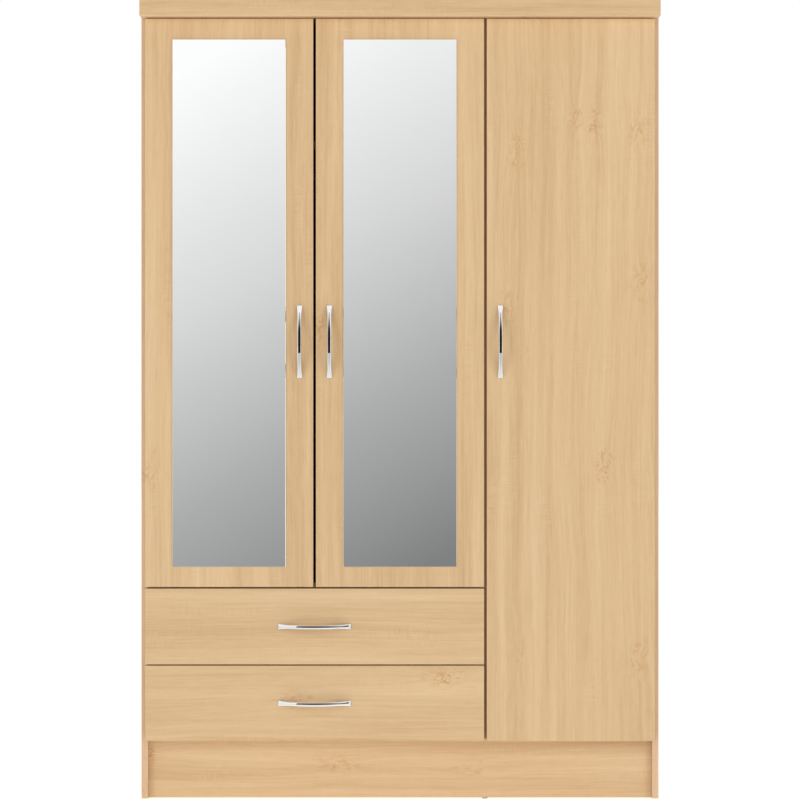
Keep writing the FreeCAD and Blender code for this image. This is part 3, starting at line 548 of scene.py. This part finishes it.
def peg_cutters(node):
    """The hole of each peg that sits in this board, with one more above and one below it."""
    out = []
    board_lo, board_hi = (Vector(p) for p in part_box(node))
    for lo, hi in PEGS:
        if lo.x < board_hi.x < hi.x:
            x0, x1 = board_hi.x - PEG_DEPTH, board_hi.x + CUT_OVER
        elif lo.x < board_lo.x < hi.x:
            x0, x1 = board_lo.x - CUT_OVER, board_lo.x + PEG_DEPTH
        else:
            continue
        y, z = (lo.y + hi.y) / 2, (lo.z + hi.z) / 2
        if hi.z - lo.z < PEG_FLAT_HEIGHT:
            z = hi.z - PEG_RADIUS
        for step in (-PEG_PITCH, 0.0, PEG_PITCH):
            out.append((PEG_RADIUS, (x0, y, z + step), (x1, y, z + step)))
    return out


for node, look in (("side_panel_left", "oak_side"), ("side_panel_right", "oak_side"),
                   ("divider_panel", None)):
    board(node, 2, cutters=cylinders(cam_cutters(node) + peg_cutters(node)), look=look)
for node in ("bottom_panel", "drawer_deck", "hat_shelf", "fixed_shelf"):
    board(node, 0, cutters=cylinders(cam_cutters(node)))
for node in ("plinth_front", "plinth_rear"):
    board(node, 0)
board("top_panel", 0, TOP_EASE, 3, edged=False)


def loose_shelves():
    """The adjustable shelves, one piece made of several boards."""
    node = "adjustable_shelves"
    bm = bmesh.new()
    for lo, hi in islands(node):
        part = box_mesh(lo, hi, EASE)
        me = bpy.data.meshes.new("part")
        part.to_mesh(me)
        part.free()
        bm.from_mesh(me)
        bpy.data.meshes.remove(me)
    mesh = bpy.data.meshes.new(node)
    bm.to_mesh(mesh)
    bm.free()
    set_grain(mesh, 0, 2, 41)
    mesh.materials.append(MATS["oak_board"])
    place_piece(add_object("foil_" + node, mesh), node)


loose_shelves()


def door_panel(door):
    """A door with the bores for its hinge cups, whose axes lie near the door's hinged edge."""
    node = door + "_panel"
    lo, hi = (Vector(p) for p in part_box(node))
    specs = []
    for clo, chi in islands(door + "_hinge_cups"):
        at_left = clo.x - lo.x < hi.x - chi.x
        x = chi.x - CUP_INSET if at_left else clo.x + CUP_INSET
        z = (clo.z + chi.z) / 2
        specs.append((CUP_RADIUS, (x, hi.y - CUP_DEPTH, z), (x, hi.y + CUT_OVER, z)))
    board(node, 2, FRONT_EASE, 3, cylinders(specs))


for door in ("door_left", "door_middle", "door_right"):
    door_panel(door)
for drawer in ("drawer_upper", "drawer_lower"):
    board(drawer + "_front", 0, FRONT_EASE, 3)
    for part in ("_side_left", "_side_right"):
        board(drawer + part, 1)
    board(drawer + "_back", 0)
    board(drawer + "_bottom", 0, 0.2 * MM, 1)
for node in ("back_panel_left", "back_panel_right"):
    spec = []
    if node == "back_panel_left":
        wall = next(mt for mt in RECORD["mounts"] if mt["name"] == "wall_fixing")
        x, y, z = wall["pos_m"]
        spec = [(wall["dims"]["r_mm"] * MM, (x, y - 0.01, z), (x, y + 0.01, z))]
    board(node, 2, 0.3 * MM, 1, cylinders(spec))


# ---- mirrors ---------------------------------------------------------------
MIRROR_BEVEL = 1.2 * MM


def mirror(node):
    """A sheet of silvered glass with a polished bevel around its face."""
    lo, hi = (Vector(p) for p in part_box(node))
    front = lo.y

    def pick(e):
        return all(abs(v.co.y - front) < 1e-6 for v in e.verts)

    bm = box_mesh(lo, hi, MIRROR_BEVEL, 1, pick)
    mesh = bpy.data.meshes.new(node)
    bm.to_mesh(mesh)
    bm.free()
    mesh.materials.append(MATS["mirror_glass"])
    mesh.materials.append(EDGE_GLASS)
    for p in mesh.polygons:
        p.material_index = 0 if p.normal.y < -0.3 else 1
    place_piece(add_object("glass_" + node, mesh), node)


for door in ("door_left", "door_middle"):
    mirror(door + "_mirror")


# ---- bow handles -----------------------------------------------------------
BOW_END_RISE = 3.0 * MM                 # thickness at the two ends
BOW_INNER_HALF = 60.0 * MM              # half the span of the hollow behind the bow
BOW_INNER_RISE = 20.5 * MM
BOW_WAIST = 0.68                        # width in the middle over the width at the ends
BOW_TAPER = 1.5                         # power of the widening towards the ends
BOW_EASE = 0.5 * MM
BOW_FLANK = 0.50                        # part of the thickness that is straight flank
BOW_CROWN_STEPS = 20
BOW_STATIONS = 96


def circle_rise(t, span, top, foot):
    """Height at t of a circular arc that is foot at both ends of its span and top in the middle."""
    rise = top - foot
    radius = (span * span + rise * rise) / (2 * rise)
    return foot - (radius - rise) + math.sqrt(max(radius * radius - t * t, 0.0))


def bow_section(t, half, reach, end_half):
    """One ring of the bow at t along its length: flat inside, straight flanks, crowned outside."""
    outer = circle_rise(t, half, reach, BOW_END_RISE)
    inner = circle_rise(t, BOW_INNER_HALF, BOW_INNER_RISE, 0.0) if abs(t) < BOW_INNER_HALF else 0.0
    wide = end_half * (BOW_WAIST + (1 - BOW_WAIST) * abs(t / half) ** BOW_TAPER)
    ease = min(1.0, (half - abs(t)) / BOW_EASE)
    trim = BOW_EASE * (1 - math.sqrt(max(0.0, 1 - (1 - ease) ** 2)))
    wide -= trim
    outer -= trim
    flank = inner + (outer - inner) * BOW_FLANK
    ring = [(-wide, flank), (-wide, inner + BOW_EASE), (-wide + BOW_EASE, inner),
            (wide - BOW_EASE, inner), (wide, inner + BOW_EASE), (wide, flank)]
    for k in range(1, BOW_CROWN_STEPS):
        a = math.pi * k / BOW_CROWN_STEPS
        ring.append((wide * math.cos(a), flank + (outer - flank) * math.sin(a)))
    return ring


def handle(node):
    """Bow: an arch in side view, waisted in front view, with a crowned outer face."""
    lo, hi = (Vector(p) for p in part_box(node))
    size = hi - lo
    long_axis = 2 if size.z > size.x else 0
    wide_axis = 2 - long_axis
    centre = (lo + hi) / 2
    half = size[long_axis] / 2
    bm = bmesh.new()
    rows = []
    for i in range(BOW_STATIONS + 1):
        t = -half * math.cos(math.pi * i / BOW_STATIONS)
        row = []
        for x, h in bow_section(t, half, size.y, size[wide_axis] / 2):
            p = Vector((0, hi.y - h, 0))
            p[long_axis] = centre[long_axis] + t
            p[wide_axis] = centre[wide_axis] + x
            row.append(bm.verts.new(p))
        rows.append(row)
    around = len(rows[0])
    for a, b in zip(rows, rows[1:]):
        for k in range(around):
            j = (k + 1) % around
            bm.faces.new((a[k], a[j], b[j], b[k]))
    bm.faces.new(list(reversed(rows[0])))
    bm.faces.new(rows[-1])
    bmesh.ops.recalc_face_normals(bm, faces=bm.faces)
    mesh = bpy.data.meshes.new(node)
    bm.to_mesh(mesh)
    bm.free()
    mesh.polygons.foreach_set("use_smooth", [True] * len(mesh.polygons))
    mesh.set_sharp_from_angle(angle=math.radians(50))
    mesh.materials.append(MATS["handle_chrome"])
    place_piece(add_object("bow_" + node, mesh), node)


for piece in ("door_left", "door_middle", "door_right", "drawer_upper", "drawer_lower"):
    handle(piece + "_handle")


# ---- CAD nodes that stay as they are ---------------------------------------
for node, obj in frame["nodes"].items():
    if obj.hide_render:
        continue
    for s in obj.material_slots:
        s.material = MATS[SLOTS[node]]


# ---- stage, light and camera ----------------------------------------------
CAMERA_PLACE = (0.0, -5.305, 0.917)
CAMERA_LENS = 99.85
STAGE_RADIUS = 18.0
SKY = 0.435
KEY_PLACES = {"key_left": (-3.2, -3.4, 2.3), "key_right": (3.2, -3.4, 2.3)}
KEY_POWERS = {"key_left": 44, "key_right": 39}
KEY_TARGET = (0, 0, 1.1)
KEY_SIZE = (1.6, 2.4)
FLOOR_GLOW = 0.66
# Mirror card: a glowing card that only reflections see, a painted reflection of a white-to-grey studio in
# the mirrors.
CARD_Y = -5.6
CARD_X = (-1.6, 0.8)
CARD_Z = (0.0, 3.4)
CARD_FADE = 2.967                       # metres from the white end of the card's fade to the grey end
CARD_SLANT = 0.55                       # the fade runs down, and by this much of that to the right
CARD_OFFSET = 1.02
CARD_TONES = [(0.0, 251), (0.40, 213), (0.70, 172), (1.0, 128)]
CARD_STRENGTH = 1.08
# Handle plates: glowing plates that only reflections see, a painted reflection that gives the chrome its
# dark and light bands.
PLATE_DISTANCE = 12 * MM
PLATE_TINT = (1.0, 0.90, 0.85)
PLATE_DARK = 0.02
PLATE_LIGHT = 0.66
DOOR_PLATE_SIDES = (-26 * MM, 26 * MM)
DOOR_PLATE_LEVELS = ((-31 * MM, PLATE_DARK), (35 * MM, PLATE_DARK), (100 * MM, PLATE_LIGHT))
DRAWER_PLATE_SIDES = (-52 * MM, 125 * MM)
DRAWER_PLATE_LEVELS = ((-2 * MM, PLATE_DARK), (32 * MM, PLATE_DARK))
# Floor card: a glowing sheet that only reflections see, a painted reflection of the floor in the chrome.
FLOOR_CARD_X = (-6.0, 6.0)
FLOOR_CARD_Y = (-9.0, -0.3)
FLOOR_CARD_Z = 1 * MM
FLOOR_FADE_Y = (-1.5, -0.8)
FLOOR_NEAR = (0.95, 0.95, 0.95)
FLOOR_FAR = (0.60, 0.63, 0.63)


def glow(name, build=None):
    """An emission material; build may colour it."""
    mat = bpy.data.materials.new(name)
    mat.use_nodes = True
    mat.cycles.emission_sampling = "NONE"
    tree = mat.node_tree
    tree.nodes.clear()
    out = tree.nodes.new("ShaderNodeOutputMaterial")
    emission = tree.nodes.new("ShaderNodeEmission")
    tree.links.new(emission.outputs[0], out.inputs[0])
    if build is not None:
        build(tree, emission)
    return mat


def stage_mesh(name, bm, material, camera=True, lit=True):
    """A stage object that reflections always see; camera and lit say what else does."""
    mesh = bpy.data.meshes.new(name)
    bm.to_mesh(mesh)
    bm.free()
    mesh.materials.append(material)
    obj = add_object(name, mesh)
    obj.visible_camera = camera
    obj.visible_diffuse = lit
    obj.visible_shadow = lit
    return obj


def floor():
    bm = bmesh.new()
    bmesh.ops.create_circle(bm, cap_ends=True, radius=STAGE_RADIUS, segments=96)
    m = Nodes("studio_floor")
    n = m.noise(m.coords(), 3.0, 2, 0.5)
    m.finish(color=m.ramp(n, [(0.3, (0.86, 0.86, 0.86)), (0.7, (0.88, 0.88, 0.88))]), rough=0.6, spec=0.2)
    m.bsdf.inputs["Emission Color"].default_value = (1, 1, 1, 1)
    m.bsdf.inputs["Emission Strength"].default_value = FLOOR_GLOW
    m.mat.cycles.emission_sampling = "NONE"
    stage_mesh("studio_floor", bm, m.mat)


def backdrop():
    """White dome behind everything, seen by the camera and in reflections but giving no light."""
    bm = bmesh.new()
    bmesh.ops.create_uvsphere(bm, u_segments=48, v_segments=24, radius=STAGE_RADIUS)
    stage_mesh("white_backdrop", bm, glow("white_backdrop"), lit=False)


def gradient_card():
    """Painted reflection: a glowing card behind the camera that only the mirrors and other reflections see:
    white above, grey below and to the right.
    """
    lo_x, hi_x, lo_z, hi_z = CARD_X[0], CARD_X[1], CARD_Z[0], CARD_Z[1]
    bm = bmesh.new()
    corners = [(lo_x, CARD_Y, lo_z), (hi_x, CARD_Y, lo_z), (hi_x, CARD_Y, hi_z), (lo_x, CARD_Y, hi_z)]
    bm.faces.new([bm.verts.new(c) for c in corners])

    def build(tree, emission):
        coords = tree.nodes.new("ShaderNodeTexCoord")
        along = tree.nodes.new("ShaderNodeVectorMath")
        along.operation = "DOT_PRODUCT"
        along.inputs[1].default_value = (CARD_SLANT / CARD_FADE, 0, -1 / CARD_FADE)
        tree.links.new(coords.outputs["Object"], along.inputs[0])
        shift = tree.nodes.new("ShaderNodeMath")
        shift.operation = "ADD"
        shift.inputs[1].default_value = CARD_OFFSET
        tree.links.new(along.outputs["Value"], shift.inputs[0])
        ramp = tree.nodes.new("ShaderNodeValToRGB")
        elements = ramp.color_ramp.elements
        while len(elements) < len(CARD_TONES):
            elements.new(0.5)
        for element, (place, tone) in zip(elements, CARD_TONES):
            element.position = place
            element.color = (*srgb(tone, tone, tone), 1)
        tree.links.new(shift.outputs[0], ramp.inputs[0])
        tree.links.new(ramp.outputs[0], emission.inputs["Color"])
        emission.inputs["Strength"].default_value = CARD_STRENGTH

    stage_mesh("mirror_card", bm, glow("mirror_card", build), camera=False, lit=False)


def handle_reflection_plate(piece, sides, levels):
    """Painted reflection: a graded glowing plate in front of a piece's handle, giving the chrome its dark
    and light bands; only reflections see it, and only from the cabinet's side. Sides and levels are measured
    from the handle's middle."""
    lo, hi = (Vector(p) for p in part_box(piece + "_handle"))
    centre = (lo + hi) / 2
    y = lo.y - PLATE_DISTANCE
    bm = bmesh.new()
    rows = [[bm.verts.new((centre.x + side, y, centre.z + z)) for side in reversed(sides)]
            for z, tone in levels]
    for low, high in zip(rows, rows[1:]):
        bm.faces.new((low[0], low[1], high[1], high[0]))
    tones = [tone for z, tone in levels for side in sides]

    def build(tree, emission):
        tone = tree.nodes.new("ShaderNodeAttribute")
        tone.attribute_name = "tone"
        emission.inputs["Color"].default_value = (*PLATE_TINT, 1)
        tree.links.new(tone.outputs["Fac"], emission.inputs["Strength"])

    mat = glow(piece + "_plate", build)
    tree = mat.node_tree
    emission = next(n for n in tree.nodes if n.type == "EMISSION")
    out = next(n for n in tree.nodes if n.type == "OUTPUT_MATERIAL")
    clear = tree.nodes.new("ShaderNodeBsdfTransparent")
    side = tree.nodes.new("ShaderNodeNewGeometry")
    mixer = tree.nodes.new("ShaderNodeMixShader")
    tree.links.new(side.outputs["Backfacing"], mixer.inputs[0])
    tree.links.new(emission.outputs[0], mixer.inputs[1])
    tree.links.new(clear.outputs[0], mixer.inputs[2])
    tree.links.new(mixer.outputs[0], out.inputs[0])
    obj = stage_mesh(piece + "_plate", bm, mat, camera=False, lit=False)
    obj.data.attributes.new("tone", "FLOAT", "POINT").data.foreach_set("value", tones)


def floor_card():
    """Painted reflection of the floor in the chrome: a glowing sheet that only reflections see, white by the
    cabinet, light grey further out.
    """
    bm = bmesh.new()
    (lo_x, hi_x), (lo_y, hi_y) = FLOOR_CARD_X, FLOOR_CARD_Y
    corners = [(lo_x, lo_y), (hi_x, lo_y), (hi_x, hi_y), (lo_x, hi_y)]
    bm.faces.new([bm.verts.new((x, y, FLOOR_CARD_Z)) for x, y in corners])

    def build(tree, emission):
        coords = tree.nodes.new("ShaderNodeTexCoord")
        parts = tree.nodes.new("ShaderNodeSeparateXYZ")
        tree.links.new(coords.outputs["Object"], parts.inputs[0])
        fade = tree.nodes.new("ShaderNodeMapRange")
        for i, v in enumerate(FLOOR_FADE_Y, 1):
            fade.inputs[i].default_value = v
        tree.links.new(parts.outputs[1], fade.inputs[0])
        ramp = tree.nodes.new("ShaderNodeValToRGB")
        ramp.color_ramp.elements[0].color = (*FLOOR_FAR, 1)
        ramp.color_ramp.elements[1].color = (*FLOOR_NEAR, 1)
        tree.links.new(fade.outputs[0], ramp.inputs[0])
        tree.links.new(ramp.outputs[0], emission.inputs["Color"])

    stage_mesh("floor_card", bm, glow("floor_card", build), camera=False, lit=False)


def key_light(name, place, power):
    """A soft light aimed at the cabinet; reflections don't see it."""
    light = bpy.data.lights.new(name, "AREA")
    light.shape = "RECTANGLE"
    light.size, light.size_y = KEY_SIZE
    light.energy = power
    obj = add_object(name, light)
    obj.location = place
    obj.rotation_euler = (Vector(KEY_TARGET) - Vector(place)).to_track_quat("-Z", "Y").to_euler()
    obj.visible_glossy = False


def world():
    w = bpy.data.worlds.new("studio")
    bpy.context.scene.world = w
    w.use_nodes = True
    bg = w.node_tree.nodes["Background"]
    bg.inputs[0].default_value = (1.0, 1.0, 1.0, 1.0)
    bg.inputs[1].default_value = SKY


def camera():
    cam = bpy.data.cameras.new("camera")
    cam.sensor_width = 36.0
    cam.lens = CAMERA_LENS
    obj = add_object("camera", cam)
    obj.location = CAMERA_PLACE
    obj.rotation_euler = (math.radians(90), 0, 0)
    bpy.context.scene.camera = obj


bpy.context.scene.view_settings.view_transform = "Standard"
bpy.context.scene.view_settings.look = "None"
floor()
backdrop()
gradient_card()
for door in ("door_left", "door_middle", "door_right"):
    handle_reflection_plate(door, DOOR_PLATE_SIDES, DOOR_PLATE_LEVELS)
for drawer in ("drawer_upper", "drawer_lower"):
    handle_reflection_plate(drawer, DRAWER_PLATE_SIDES, DRAWER_PLATE_LEVELS)
floor_card()
world()
camera()
for key in ("key_left", "key_right"):
    key_light(key, KEY_PLACES[key], KEY_POWERS[key])
